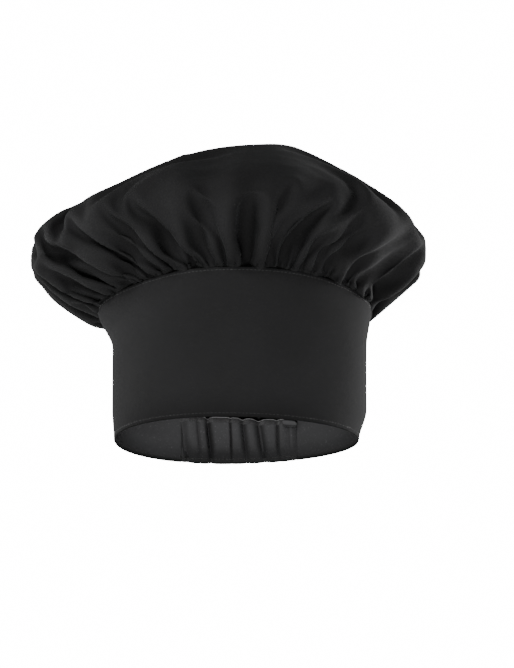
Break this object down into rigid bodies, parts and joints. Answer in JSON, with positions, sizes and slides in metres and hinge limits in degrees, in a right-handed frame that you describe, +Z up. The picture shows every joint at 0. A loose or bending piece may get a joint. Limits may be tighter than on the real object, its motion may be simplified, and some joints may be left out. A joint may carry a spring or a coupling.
{
  "type": "chef toque",
  "caption": "Soft black chef hat: a puffed crown gathered onto a tall plain band that slopes down to an elastic back.",
  "frame": {"origin": "centre of the head opening, in the plane of the rim that the hat stands on", "axes": "+Z up out of the crown, -Y towards the front of the hat, +Y towards the elastic back, +X towards the wearer's left ear"},
  "size_m": [0.3141, 0.2156, 0.241],
  "materials": {
    "crown_cloth": "matte black twill, gathered",
    "band_cloth": "matte black twill, pressed flat",
    "lining_cloth": "matte charcoal twill, wrong side",
    "stiffener": "matte non-woven",
    "elastic": "matte knitted elastic",
    "thread": "satin polyester thread"
  },
  "bodies": {
    "front_band": {"crown_panel": "crown_cloth", "band_shell": "band_cloth", "band_interfacing": "stiffener", "band_lining": "lining_cloth", "crown_seam_stitches": "thread", "gathering_thread": "thread", "crown_seam_overlock": "thread", "rim_topstitch": "thread"},
    "elastic_back": {"back_panel": "band_cloth", "elastic_casing": "lining_cloth", "elastic_strip": "elastic", "casing_overlock": "thread", "casing_end_tab": "lining_cloth", "casing_rim_stitches": "thread", "elastic_bartacks": "thread", "centre_back_seam": "thread"}
  },
  "joints": [
    {"name": "elastic_stretch", "type": "slide", "parent": "front_band", "child": "elastic_back", "axis": [0, 1, 0], "range_m": [0, 0.05], "stiffness_N_per_m": 160}
  ]
}
